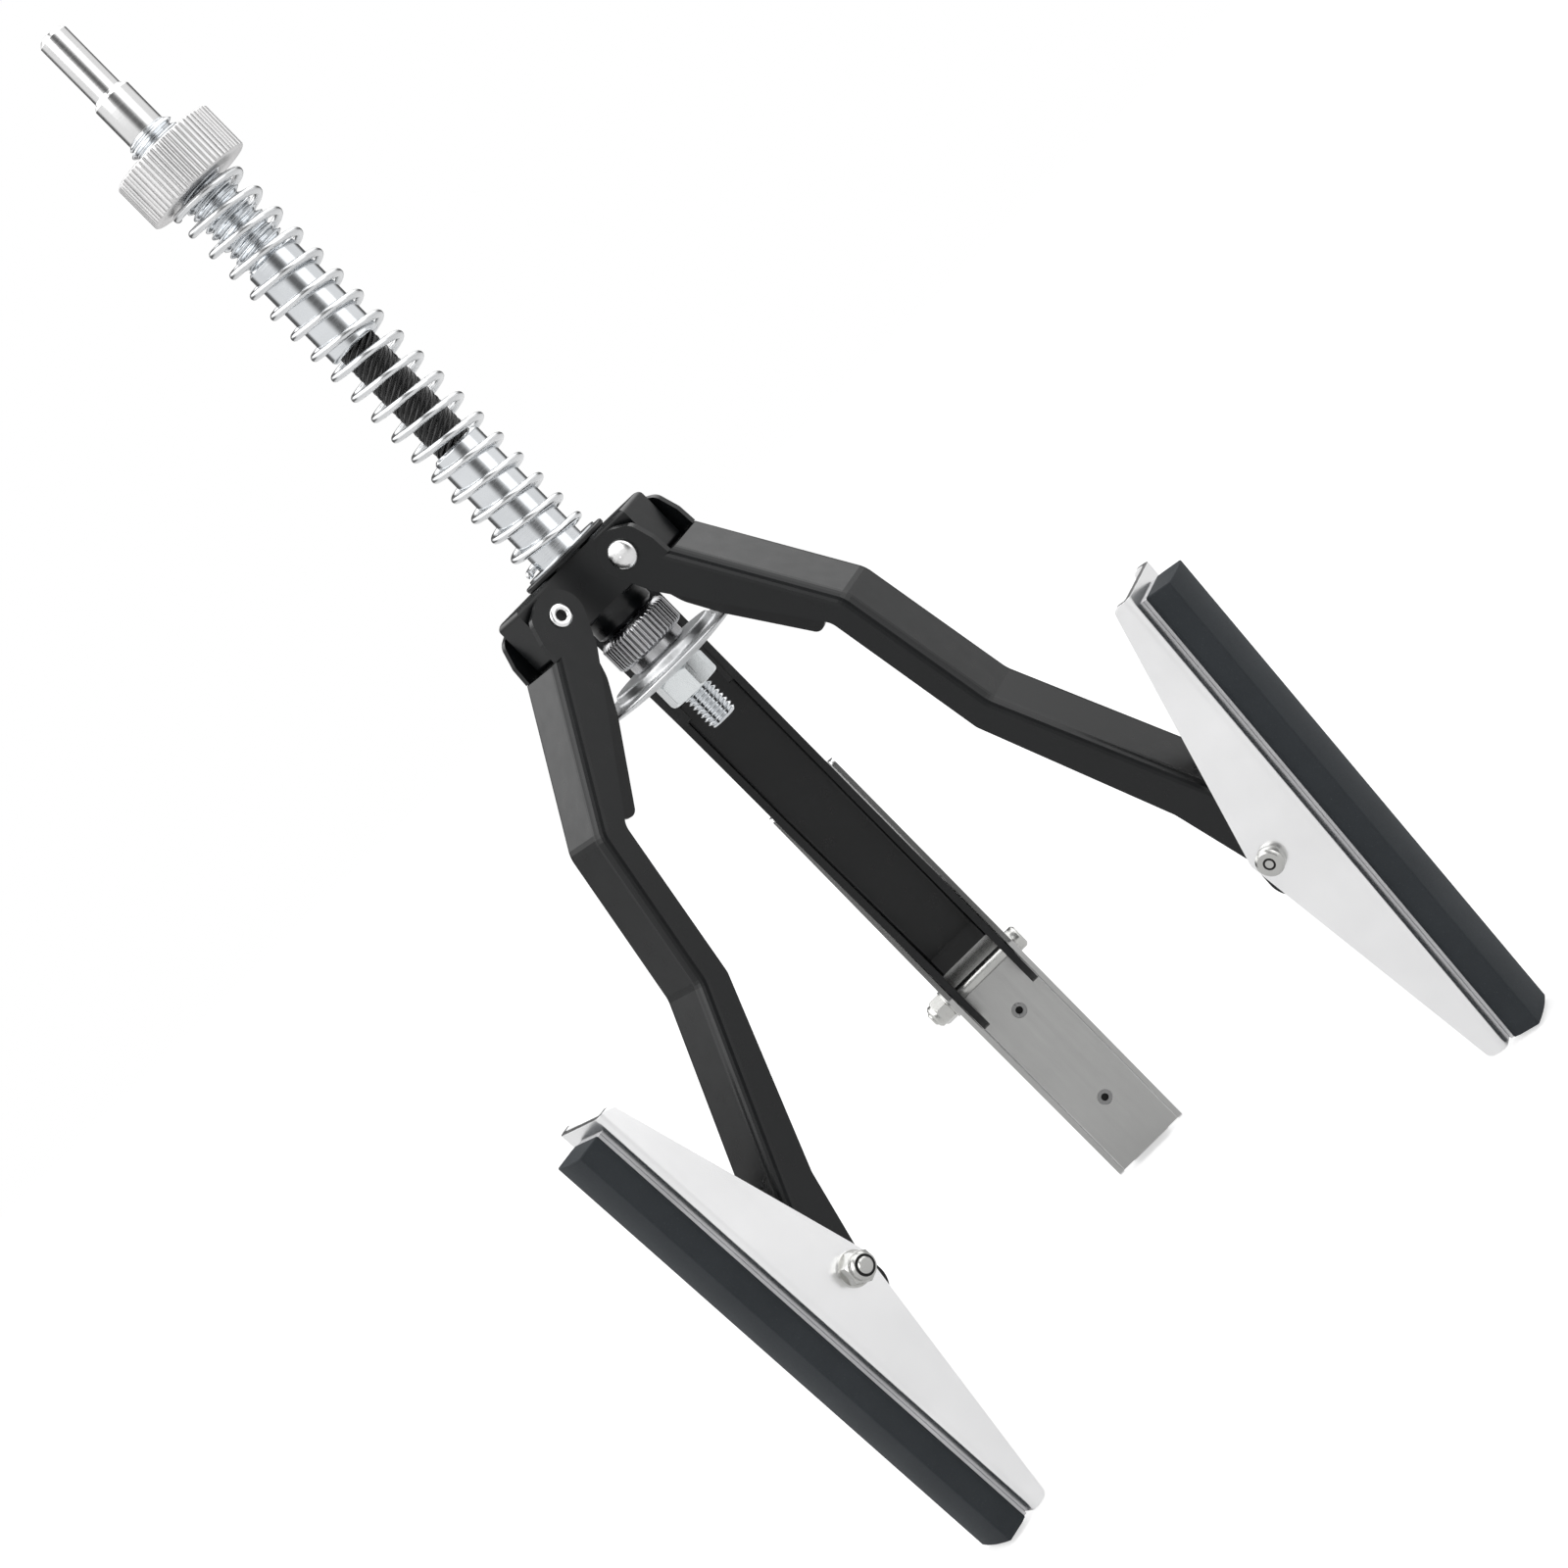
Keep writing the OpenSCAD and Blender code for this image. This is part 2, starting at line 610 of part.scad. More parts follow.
module backing_strip(i) {
    color("#b9bcc0") on_shoe(i) difference() {
        translate([base_out, -stone_w / 2 + 0.4, -stone_len / 2 - stone_shift + 0.2])
            cube([strip_t, stone_w - 0.8, stone_len - 0.4]);
        for (z = rivet_at) translate([base_out - 1, 0, z * shoe_len / 103.4]) rotate([0, 90, 0])
            cylinder(r = shoe_rivet_r + 0.02, h = 6);
    }
}

// Flat tubular rivets that hold the backing strip to the shoe's base
module shoe_rivets(i) {
    color("#9da0a4") on_shoe(i) for (z = rivet_at)
        translate([base_out - shoe_t, 0, z * shoe_len / 103.4]) rotate([0, 90, 0]) rotate_extrude()
            polygon([[0.8, 0.1], [shoe_rivet_r, 0.1], [shoe_rivet_r, shoe_t + strip_t], [0, shoe_t + strip_t],
                     [0, shoe_t - 0.2], [0.8, shoe_t - 0.2]]);
}

// The stone is drawn in slightly above its base and crowned on its working face
module stone(i) {
    low = base_out + strip_t;
    crown = 0.5;
    half = stone_w / 2;
    color("#2e3336") on_shoe(i) translate([0, 0, -stone_len / 2 - stone_shift]) linear_extrude(stone_len)
        polygon(concat(
            [[low, -half + 0.25], [low, half - 0.25], [low + 0.5, half - 0.25], [low + 1.2, half]],
            [for (k = [-4:4]) let (y = -half * k / 4) [low + stone_t - crown * pow(k / 4, 2), y]],
            [[low + 1.2, -half], [low + 0.5, -half + 0.25]]));
}

module shoe_bolt(i) {
    head_r = 2.6;
    outside = shoe_w / 2;
    nut_side = outside + 0.5 + 4 + 0.5;
    color("#c4c6c8") on_shoe(i) rotate([-90, 0, 0]) rotate_extrude() polygon([
        [0, -outside - 2.1], [head_r - 0.5, -outside - 2.1], [head_r, -outside - 1.6], [head_r, -outside],
        [bolt_d / 2, -outside], [bolt_d / 2, nut_side - 0.3], [bolt_d / 2 - 0.3, nut_side], [0, nut_side]]);
}

module nut_washer(i) {
    color("#dfe1e3") on_shoe(i) rotate([-90, 0, 0]) translate([0, 0, shoe_w / 2]) difference() {
        cylinder(d = 6.6, h = 0.5);
        translate([0, 0, -1]) cylinder(d = bolt_d + 0.04, h = 3);
    }
}

module lock_nut(i) {
    af = 5.5;
    color("#cfd1d3") on_shoe(i) rotate([-90, 0, 0]) translate([0, 0, shoe_w / 2 + 0.5]) difference() {
        union() {
            intersection() {
                rotate([0, 0, 20]) cylinder(d = af / cos(30), h = 2.8, $fn = 6);
                chamfered_rod(af / cos(30) / 2 + 0.03, 0, 2.8, 0.33, 0.53);
            }
            chamfered_rod(af / 2 - 0.25, 1, 4, 0, 0.5);
        }
        translate([0, 0, -1]) cylinder(d = bolt_d + 0.04, h = 6);
    }
}

drive_ferrule();
tension_nut();
tension_spring();
flexible_cable();
lower_ferrule();
spring_washer();
hub();
limit_nut();
expander_disc();
hex_nut();
leg(0);  // leg_1
leg(1);  // leg_2
leg(2);  // leg_3
cam_channel(0);  // cam_channel_1
cam_channel(1);  // cam_channel_2
cam_channel(2);  // cam_channel_3
hub_rivet(0);  // hub_rivet_1
hub_rivet(1);  // hub_rivet_2
hub_rivet(2);  // hub_rivet_3
shoe_channel(0);  // shoe_channel_1
shoe_channel(1);  // shoe_channel_2
shoe_channel(2);  // shoe_channel_3
backing_strip(0);  // backing_strip_1
backing_strip(1);  // backing_strip_2
backing_strip(2);  // backing_strip_3
stone(0);  // stone_1
stone(1);  // stone_2
stone(2);  // stone_3
shoe_bolt(0);  // shoe_bolt_1
shoe_bolt(1);  // shoe_bolt_2
shoe_bolt(2);  // shoe_bolt_3
lock_nut(0);  // lock_nut_1
lock_nut(1);  // lock_nut_2
lock_nut(2);  // lock_nut_3
nut_washer(0);  // nut_washer_1
nut_washer(1);  // nut_washer_2
nut_washer(2);  // nut_washer_3
shoe_rivets(0);  // shoe_rivets_1
shoe_rivets(1);  // shoe_rivets_2
shoe_rivets(2);  // shoe_rivets_3
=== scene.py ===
import math
import bpy
import numpy as np
from mathutils import Matrix, Vector


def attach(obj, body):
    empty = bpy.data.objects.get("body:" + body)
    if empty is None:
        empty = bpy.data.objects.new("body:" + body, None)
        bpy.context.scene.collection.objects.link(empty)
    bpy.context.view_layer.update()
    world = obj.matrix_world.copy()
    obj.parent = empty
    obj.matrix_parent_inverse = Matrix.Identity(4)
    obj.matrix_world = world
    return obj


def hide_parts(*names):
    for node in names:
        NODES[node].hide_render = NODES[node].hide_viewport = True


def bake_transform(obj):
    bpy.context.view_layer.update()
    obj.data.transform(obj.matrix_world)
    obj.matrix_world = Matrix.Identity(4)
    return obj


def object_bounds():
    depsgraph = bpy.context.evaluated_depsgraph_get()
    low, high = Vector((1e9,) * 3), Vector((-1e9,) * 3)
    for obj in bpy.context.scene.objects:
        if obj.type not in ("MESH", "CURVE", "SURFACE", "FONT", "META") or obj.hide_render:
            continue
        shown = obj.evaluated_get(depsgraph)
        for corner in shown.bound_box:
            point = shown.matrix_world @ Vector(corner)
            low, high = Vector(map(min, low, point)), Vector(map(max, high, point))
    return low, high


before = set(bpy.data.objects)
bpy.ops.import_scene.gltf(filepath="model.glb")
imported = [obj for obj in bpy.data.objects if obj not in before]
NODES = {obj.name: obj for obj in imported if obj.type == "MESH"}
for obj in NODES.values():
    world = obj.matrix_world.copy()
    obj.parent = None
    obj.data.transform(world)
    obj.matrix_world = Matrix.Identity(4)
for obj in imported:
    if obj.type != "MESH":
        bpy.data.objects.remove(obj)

cad_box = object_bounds()

# ---------------------------------------------------------------- sizes of the shaft
# Lengths are in mm, in the shared frame: z is the shaft's axis, up is the drive end, and
# z = 0 is the step between the shank and its collar.
MM = 0.001
UP = np.array([0.0, 0.0, 1.0])

# the drive end: shank, collar, the neck under it, thread, ferrule and tension nut
SHANK_R, SHANK_TOP, SHANK_CHAMFER = 3.0, 14.5, 0.8
COLLAR_R, COLLAR_Z, COLLAR_CHAMFER = 3.9, -9.0, 0.3
NECK_R, NECK_DROP = 3.2, 0.4
THREAD_R, THREAD_Z, THREAD_DEPTH, THREAD_PITCH = 5.0, -39.0, 0.92, 1.5
UPPER_R, UPPER_Z = 5.25, -60.6
NUT_R, NUT_TOP, NUT_H = 10.8, -12.5, 9.6

# the cable, and the mouths of the two ferrules that hold it
CABLE_R, CABLE_IN = 3.9, 11.6
MOUTH_PLAY, MOUTH_DEPTH, MOUTH_EDGE, MOUTH_ROUND = 0.12, 3.0, 0.7, 0.3

# the lower shaft: ferrule, stud, and the limit nut with its boss, under the hub's sleeve
PIN_Z = -119.5            # the hub's pivot pins
SLEEVE_DROP, LIMIT_PLAY = 9.7, 0.1
LOWER_R, LOWER_Z = 5.15, -85.1
LIMIT_TOP = PIN_Z - SLEEVE_DROP - LIMIT_PLAY
LIMIT_R, LIMIT_H = 7.5, 6.2
LIMIT_LOW = LIMIT_TOP - LIMIT_H
BOSS_R, BOSS_H = 5.9, 2.1
BOSS_LOW = LIMIT_LOW - BOSS_H
STUD_R, STUD_DEPTH, STUD_PITCH, STUD_DROP = 3.0, 0.55, 1.0, 34.5
STUD_Z = PIN_Z - STUD_DROP
FOOT_Z = LIMIT_TOP + 0.2  # the lower ferrule's foot, just over the limit nut
BORE_PLAY = 0.06          # between a nut's bore and the thread in it

# the spring, from the middle of its wire
WIRE_R, COIL_R, TURNS = 0.75, 6.8, 18
SPRING_TOP, SPRING_BOTTOM = -23.1, -111.0

# the cable's free length bends: its middle, and where the bend starts and ends
FLEX_Z, BEND_TOP, BEND_LOW = -72.85, -68.0, -77.7

# each leg's number, its direction about the axis and the lean of its shoe, in degrees
ARMS = ((1, 90, 3.1), (2, 210, 3.1), (3, 330, 4.0))

# ---------------------------------------------------------------- mesh helpers
AROUND = 96               # points round a turned shape
SHARP = 35.0              # edges steeper than this, in degrees, stay sharp
THREAD_SHARP = 60
CORNER_STEPS = 4          # pieces of a rounded corner
SIDE_SHARE = 0.48         # how much of a side one corner may take
NEARLY_STRAIGHT = math.radians(88)      # half of a corner's angle from which it stays as it is


def to_object(name, verts, faces, sharp=SHARP):
    mesh = bpy.data.meshes.new(name)
    mesh.from_pydata((np.asarray(verts, float) * MM).tolist(), [], faces)
    mesh.validate()
    mesh.shade_smooth()
    mesh.set_sharp_from_angle(angle=math.radians(sharp))
    obj = bpy.data.objects.new(name, mesh)
    bpy.context.scene.collection.objects.link(obj)
    return obj


def rows_mesh(name, rows, cap_first=False, cap_last=False, loop=False, sharp=SHARP):
    """Rows are rings of points, (n, points, 3), joined one to the next. loop joins last to first."""
    rows = np.asarray(rows, float)
    count, around, _ = rows.shape
    verts = list(rows.reshape(-1, 3))
    faces = []
    for i in range(count if loop else count - 1):
        here, there = i * around, ((i + 1) % count) * around
        for k in range(around):
            m = (k + 1) % around
            faces.append((here + k, here + m, there + m, there + k))
    if cap_first:
        faces += [(len(verts), (k + 1) % around, k) for k in range(around)]
        verts.append(rows[0].mean(0))
    if cap_last:
        base = (count - 1) * around
        faces += [(len(verts), base + k, base + (k + 1) % around) for k in range(around)]
        verts.append(rows[-1].mean(0))
    return to_object(name, verts, faces, sharp)


def lathe_rows(profile, around):
    """The profile is (r, z) from one end to the other; r may differ from point to point of a ring."""
    t = np.linspace(0, 2 * math.pi, around, endpoint=False)
    rows = []
    for r, z in profile:
        r = np.broadcast_to(np.asarray(r, float), (around,))
        rows.append(np.stack([r * np.cos(t), r * np.sin(t), np.full(around, float(z))], 1))
    return np.array(rows)


def rounded_profile(points):
    """The corners of a half section are (r, z), which stay sharp, or (r, z, radius)."""
    out = []
    for i, point in enumerate(points):
        if len(point) == 2:
            out.append(point)
            continue
        before, corner, after = (np.array(p[:2], float) for p in points[i - 1:i + 2])
        u, w = before - corner, after - corner
        u_length, w_length = np.linalg.norm(u), np.linalg.norm(w)
        u, w = u / u_length, w / w_length
        half = math.acos(float(np.clip(u @ w, -1, 1))) / 2
        if half > NEARLY_STRAIGHT:
            out.append(point[:2])
            continue
        cut = min(point[2] / math.tan(half), SIDE_SHARE * u_length, SIDE_SHARE * w_length)
        for s in np.linspace(0, 1, CORNER_STEPS + 1):
            place = corner + u * cut * (1 - s) ** 2 + w * cut * s ** 2
            out.append((place[0], place[1]))
    return out


def turned(name, points):
    """A turned shape from the corners of its half section."""
    return rows_mesh(name, lathe_rows(rounded_profile(points), AROUND))


RINGS_PER_PITCH = 14
THREAD_FLAT = 0.12        # share of the pitch that is flat at the crest and at the root
THREAD_SOFT = 0.35        # how much of the flank's shape is a soft curve


def threaded(name, z_low, z_high, crest, depth, pitch, around, fade_low, fade_high):
    """A rod with a right-handed thread, as a pile of rings. The fades draw it in at its ends."""
    t = np.linspace(0, 2 * math.pi, around, endpoint=False)
    count = int(round((z_high - z_low) / pitch * RINGS_PER_PITCH))
    profile = [(0.0, z_low)]
    for z in np.linspace(z_low, z_high, count + 1):
        phase = (z / pitch - t / (2 * math.pi)) % 1.0
        slope = 1 - np.abs(2 * phase - 1)
        flank = np.clip((slope - THREAD_FLAT) / (1 - 2 * THREAD_FLAT), 0, 1)
        soft = flank * flank * (3 - 2 * flank)
        shape = soft * THREAD_SOFT + flank * (1 - THREAD_SOFT)
        limit = crest
        for fade, inside in ((fade_low, z - z_low), (fade_high, z_high - z)):
            if fade > 0:
                limit = min(limit, crest - depth + depth * min(1, inside / fade))
        profile.append((np.minimum(crest - depth * (1 - shape), limit), z))
    profile.append((0.0, z_high))
    return rows_mesh(name, lathe_rows(profile, around), sharp=THREAD_SHARP)


# the rounded edge of a nut's bore: steps outwards from the bore, and into the nut from its face
BORE_EDGE = ((0.0, 1.0), (0.35, 0.35), (0.9, 0.0))
# where a face meets the chamfer of the rim: steps inwards from the chamfer, and into the nut
FACE_EDGE = ((0.9, 0.0), (0.15, 0.02))
CHAMFER_START = 0.06
TOP_CURVE, LOW_CURVE = 1.25, 1.4
RIDGE_POINTS, RIM_STEPS = 10, 5
KNURL_SHARP = 50


def knurled(name, radius, z_low, z_high, bore, ridges, depth, sharpness, wobble, low, top, seed):
    """A nut with straight ridges on its rim. low and top are its two chamfers, and wobble makes
    some ridges a little lower than others."""
    around = ridges * RIDGE_POINTS
    t = np.linspace(0, 2 * math.pi, around, endpoint=False)
    rng = np.random.default_rng(seed)
    worn = np.repeat(np.abs(rng.normal(0, 1, ridges)), RIDGE_POINTS) * wobble
    wave = np.abs(np.sin(0.5 * ridges * t)) ** (1 / sharpness)
    rim = radius - depth * (1 - wave) - worn

    def face_edge(face, way, chamfer, curve):
        """From a flat face out to the rim; way is -1 at the top face and 1 at the low one."""
        edge = [(radius - chamfer - step, face + way * drop) for step, drop in FACE_EDGE]
        for s in np.linspace(0, 1, RIM_STEPS):
            limit = radius - chamfer * (1 - s) ** curve
            drop = CHAMFER_START + (chamfer - CHAMFER_START) * s
            edge.append((np.minimum(rim, limit), face + way * drop))
        return edge

    low_bore = [(bore + step, z_low + drop) for step, drop in BORE_EDGE]
    profile = low_bore[:1]
    profile += [(bore + step, z_high - drop) for step, drop in BORE_EDGE]
    profile += face_edge(z_high, -1, top, TOP_CURVE)
    for s in np.linspace(0.1, 0.9, RIM_STEPS):
        profile.append((rim, z_high - top - (z_high - z_low - top - low) * s))
    profile += face_edge(z_low, 1, low, LOW_CURVE)[::-1]
    profile += low_bore[:0:-1]
    return rows_mesh(name, lathe_rows(profile, around), loop=True, sharp=KNURL_SHARP)


# ---------------------------------------------------------------- node helpers
MIX_FACTOR, MIX_A, MIX_B, MIX_RESULT = 0, 6, 7, 2     # sockets of a Mix node that mixes colours


class Nodes:
    """Builds a node tree. A socket given for an input is linked, any other value is written."""

    def __init__(self, tree):
        self.tree = tree

    def put(self, socket, value):
        if isinstance(value, bpy.types.NodeSocket):
            self.tree.links.new(value, socket)
        else:
            socket.default_value = value

    def add(self, kind, inputs=None, **settings):
        node = self.tree.nodes.new(kind)
        for key, value in settings.items():
            setattr(node, key, value)
        for key, value in (inputs or {}).items():
            self.put(node.inputs[key], value)
        return node

    def math(self, operation, *values):
        return self.add("ShaderNodeMath", dict(enumerate(values)), operation=operation).outputs[0]

    def soft_step(self, value, start, end, low, high):
        inputs = {"Value": value, "From Min": start, "From Max": end, "To Min": low, "To Max": high}
        return self.add("ShaderNodeMapRange", inputs, interpolation_type="SMOOTHSTEP").outputs["Result"]


class Finish(Nodes):
    """A material with one Principled shader, and the nodes that the finishes share."""

    def __init__(self, name, **values):
        self.material = bpy.data.materials.new(name)
        self.material.use_nodes = True
        super().__init__(self.material.node_tree)
        self.shader = next(n for n in self.tree.nodes if n.type == "BSDF_PRINCIPLED")
        self.set(**values)

    def set(self, **values):
        for key, value in values.items():
            self.put(self.shader.inputs[key.replace("_", " ")], value)

    def noise(self, scale, detail, rough=0.55, stretch=(1, 1, 1)):
        place = self.add("ShaderNodeTexCoord").outputs["Object"]
        place = self.add("ShaderNodeMapping", {"Vector": place, "Scale": stretch}).outputs["Vector"]
        inputs = {"Vector": place, "Scale": scale, "Detail": detail, "Roughness": rough}
        return self.add("ShaderNodeTexNoise", inputs).outputs["Fac"]

    def ramp(self, factor, *stops):
        """Two stops, each a place and a grey or a colour."""
        node = self.add("ShaderNodeValToRGB", {"Fac": factor})
        for element, (place, colour) in zip(node.color_ramp.elements, stops):
            element.position = place
            element.color = (colour,) * 3 + (1,) if isinstance(colour, float) else (*colour, 1)
        return node.outputs["Color"]

    def bump(self, height, strength, distance):
        inputs = {"Height": height, "Strength": strength, "Distance": distance}
        return self.add("ShaderNodeBump", inputs).outputs["Normal"]

    def mix(self, factor, a, b, blend="MIX"):
        inputs = {MIX_FACTOR: factor, MIX_A: a, MIX_B: b}
        node = self.add("ShaderNodeMix", inputs, data_type="RGBA", blend_type=blend)
        return node.outputs[MIX_RESULT]


# ---------------------------------------------------------------- finishes
def metal(name, low, high, rough, grain, relief=0.00002, spread=0.12):
    """Plated or brushed steel: the colour drifts slowly, and a fine grain runs one way."""
    finish = Finish(name, Metallic=1.0)
    drift = finish.noise(scale=60.0, detail=3.0)
    fine = finish.noise(scale=1.0, detail=3.0, rough=0.6, stretch=grain)
    finish.set(Base_Color=finish.ramp(drift, (0.3, low), (0.7, high)),
               Roughness=finish.ramp(fine, (0.25, rough - spread / 2), (0.75, rough + spread / 2)),
               Normal=finish.bump(fine, strength=0.35, distance=relief))
    return finish


def black_finish(name, base, rough, shine):
    """Black finish on steel: colour and gloss drift a little, under a faint orange peel."""
    finish = Finish(name, Specular_IOR_Level=shine)
    drift = finish.noise(scale=45.0, detail=4.0)
    gloss = finish.noise(scale=300.0, detail=2.0)
    peel = finish.noise(scale=700.0, detail=2.0)
    dark, light = (tuple(c * share for c in base) for share in (0.8, 1.25))
    finish.set(Base_Color=finish.ramp(drift, (0.3, dark), (0.7, light)),
               Roughness=finish.ramp(gloss, (0.3, rough - 0.03), (0.7, rough + 0.03)),
               Normal=finish.bump(peel, strength=0.2, distance=0.000006))
    return finish


def stone_finish(name):
    """Fine-grained abrasive: dark slate with tiny lighter grits and a matt, pitted skin."""
    finish = Finish(name, Specular_IOR_Level=0.35)
    drift = finish.noise(scale=80.0, detail=5.0, rough=0.6)
    grit = finish.noise(scale=3800.0, detail=2.0, rough=0.7)
    slate = finish.ramp(drift, (0.25, (0.017, 0.021, 0.025)), (0.75, (0.026, 0.031, 0.036)))
    spark = finish.ramp(grit, (0.62, 0.0), (0.78, 1.0))
    finish.set(Base_Color=finish.mix(spark, slate, (0.06, 0.068, 0.075, 1)),
               Roughness=finish.ramp(grit, (0.2, 0.62), (0.8, 0.82)),
               Normal=finish.bump(grit, strength=0.5, distance=0.00003))
    return finish


def shoe_finish(number, degrees):
    """Bright brushed plate, with painted shade on the faces that turn in towards the axis, such as the
    inside of the channel's base.
    """
    finish = metal(f"shoe_plate_{number}", (0.84, 0.84, 0.845), (0.91, 0.91, 0.915), 0.24,
                   (900, 900, 30), relief=0.000004, spread=0.06)
    plate = finish.shader.inputs["Base Color"].links[0].from_socket
    # painted shade: faces that turn in towards the axis are darkened to about half their colour
    angle = math.radians(degrees)
    normal = finish.add("ShaderNodeTexCoord").outputs["Normal"]
    inwards = (-math.cos(angle), -math.sin(angle), 0)
    facing = finish.add("ShaderNodeVectorMath", {0: normal, 1: inwards}, operation="DOT_PRODUCT")
    shade = finish.ramp(facing.outputs["Value"], (0.6, 1.0), (0.9, (0.52, 0.52, 0.51)))
    finish.set(Base_Color=finish.mix(1.0, plate, shade, "MULTIPLY"))
    return finish


# a metal's two colours, its roughness, and how fine its grain is along x, y and z
ZINC = metal("zinc_plate", (0.62, 0.64, 0.66), (0.74, 0.76, 0.78), 0.15, (60, 60, 2600))
SHANK = metal("shank_steel", 0.66, 0.76, 0.18, (50, 50, 3000))
NUT = metal("knurled_nut_steel", 0.62, (0.74, 0.73, 0.73), 0.36, (1500, 1500, 120))
SPRING = metal("spring_wire", (0.66, 0.67, 0.68), (0.76, 0.77, 0.78), 0.2, (900, 900, 900), spread=0.08)
DARK_NUT = metal("dark_knurled_steel", (0.36, 0.36, 0.37), (0.52, 0.52, 0.53), 0.26, (1500, 1500, 100))
DISC = metal("zinc_disc", (0.60, 0.61, 0.62), (0.74, 0.75, 0.76), 0.46, (1400, 1400, 500),
             relief=0.00008, spread=0.16)
HEX = metal("zinc_hex", (0.72, 0.75, 0.76), (0.82, 0.85, 0.86), 0.24, (700, 700, 700))
SHOES = {number: shoe_finish(number, degrees) for number, degrees, _ in ARMS}
STRIP = metal("backing_strip", (0.5, 0.5, 0.51), (0.62, 0.62, 0.63), 0.34, (400, 400, 60))
RIVET = metal("rivet_steel", 0.74, 0.84, 0.22, (800, 800, 800))
RIM = metal("rivet_rim", 0.26, 0.36, 0.3, (900, 900, 900))
BOLT = metal("bolt_steel", (0.44, 0.44, 0.43), (0.60, 0.60, 0.58), 0.24, (900, 900, 900))
BLACK = black_finish("black_finish", (0.0035, 0.0042, 0.0048), 0.30, 0.34)
CAM = black_finish("black_cam", (0.004, 0.0044, 0.0048), 0.34, 0.3)
CABLE = black_finish("black_cable", (0.003, 0.003, 0.0033), 0.17, 0.5)
STONE = stone_finish("slate_abrasive")
# painted shade: a near-black matt for the discs and rings that stand for shade in hollows and gaps
PAINTED_SHADE = black_finish("painted_hollow_shade", (0.012, 0.012, 0.012), 0.5, 0.2)


# ---------------------------------------------------------------- how a piece gets its finish and body
WELD_REACH = 0.000002     # m, joins the corners that the CAD's faces share
BEVEL_ANGLE = math.radians(32)
BY_AREA_ONLY = 100        # the largest face at a corner decides how the corner is shaded


def dress(node, finish, width=None, segments=2, flat=False):
    """Gives a CAD node its finish. width softens its sharp edges, and flat keeps its faces flat."""
    obj = NODES[node]
    obj.data.materials.clear()
    obj.data.materials.append(finish.material)
    if width:
        weld = obj.modifiers.new("weld", "WELD")
        weld.merge_threshold = WELD_REACH
        edge = obj.modifiers.new("edges", "BEVEL")
        edge.width = width * MM
        edge.segments = segments
        edge.limit_method = "ANGLE"
        edge.angle_limit = BEVEL_ANGLE
    if flat:
        level = obj.modifiers.new("flat_faces", "WEIGHTED_NORMAL")
        level.mode = "FACE_AREA"
        level.weight = BY_AREA_ONLY


def piece(obj, finish, body, slot, *replaced):
    """A visible piece that rides on one body."""
    obj.data.materials.append(finish.material)
    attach(obj, body)
    if replaced:
        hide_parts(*replaced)


def bending_piece(obj, finish, upper, lower, start, end, slot, *replaced):
    """Gives a piece its finish, bakes its place into its mesh and hides the parts it replaces; upper,
    lower, start and end are not used.
    """
    obj.data.materials.append(finish.material)
    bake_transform(obj)
    if replaced:
        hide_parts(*replaced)


# ---------------------------------------------------------------- drive end
# In the turned sections each corner is (r, z), and a third value rounds it.
EDGE = 0.2                # radius of most turned edges
CHAMFER, SMALL_CHAMFER = 0.5, 0.4
ROOT = 0.15               # the fillet where the shank leaves its collar
UPPER_LIP, UPPER_CHAMFER = 0.55, 0.45   # inside and outside of the upper ferrule's mouth
FACE_IN, FACE_RISE = 1.0, 0.05          # the end of the ferrule's face, hidden in the thread
THREAD_JOIN = 0.2         # how far the thread reaches into the ferrule
STUD_JOIN = 0.1           # how far the stud's thread passes the limit nut's top, and the boss its foot

shank = turned("shank_and_collar", [
    (0.0, COLLAR_Z - NECK_DROP), (NECK_R, COLLAR_Z - NECK_DROP),
    (NECK_R + NECK_DROP, COLLAR_Z, EDGE), (COLLAR_R, COLLAR_Z + COLLAR_CHAMFER, EDGE),
    (COLLAR_R, -CHAMFER, EDGE), (COLLAR_R - SMALL_CHAMFER, 0.0, EDGE),
    (SHANK_R + ROOT, 0.0, ROOT), (SHANK_R, CHAMFER, EDGE),
    (SHANK_R, SHANK_TOP - SHANK_CHAMFER, EDGE), (SHANK_R - SHANK_CHAMFER, SHANK_TOP, EDGE),
    (0.0, SHANK_TOP)])
piece(shank, SHANK, "drive_shaft", "zinc_shaft", "drive_ferrule")

thread = threaded("drive_thread", THREAD_Z - THREAD_JOIN, COLLAR_Z, THREAD_R, THREAD_DEPTH, THREAD_PITCH,
                  AROUND, fade_low=1.2, fade_high=0.9)
piece(thread, ZINC, "drive_shaft", "zinc_shaft")

upper = turned("upper_ferrule", [
    (CABLE_R + MOUTH_PLAY, UPPER_Z + MOUTH_DEPTH), (CABLE_R + MOUTH_PLAY, UPPER_Z + MOUTH_EDGE, EDGE),
    (CABLE_R + UPPER_LIP, UPPER_Z, EDGE), (UPPER_R - UPPER_CHAMFER, UPPER_Z, MOUTH_ROUND),
    (UPPER_R, UPPER_Z + CHAMFER, MOUTH_ROUND), (UPPER_R, THREAD_Z - CHAMFER, EDGE),
    (UPPER_R - CHAMFER, THREAD_Z, EDGE), (THREAD_R - FACE_IN, THREAD_Z + FACE_RISE)])
piece(upper, ZINC, "drive_shaft", "zinc_shaft")

nut = knurled("tension_nut_body", NUT_R, NUT_TOP - NUT_H, NUT_TOP, THREAD_R + BORE_PLAY,
              ridges=60, depth=0.26, sharpness=2.4, wobble=0.07, low=0.4, top=0.4, seed=3)
piece(nut, NUT, "tension_nut", "nut_steel", "tension_nut")

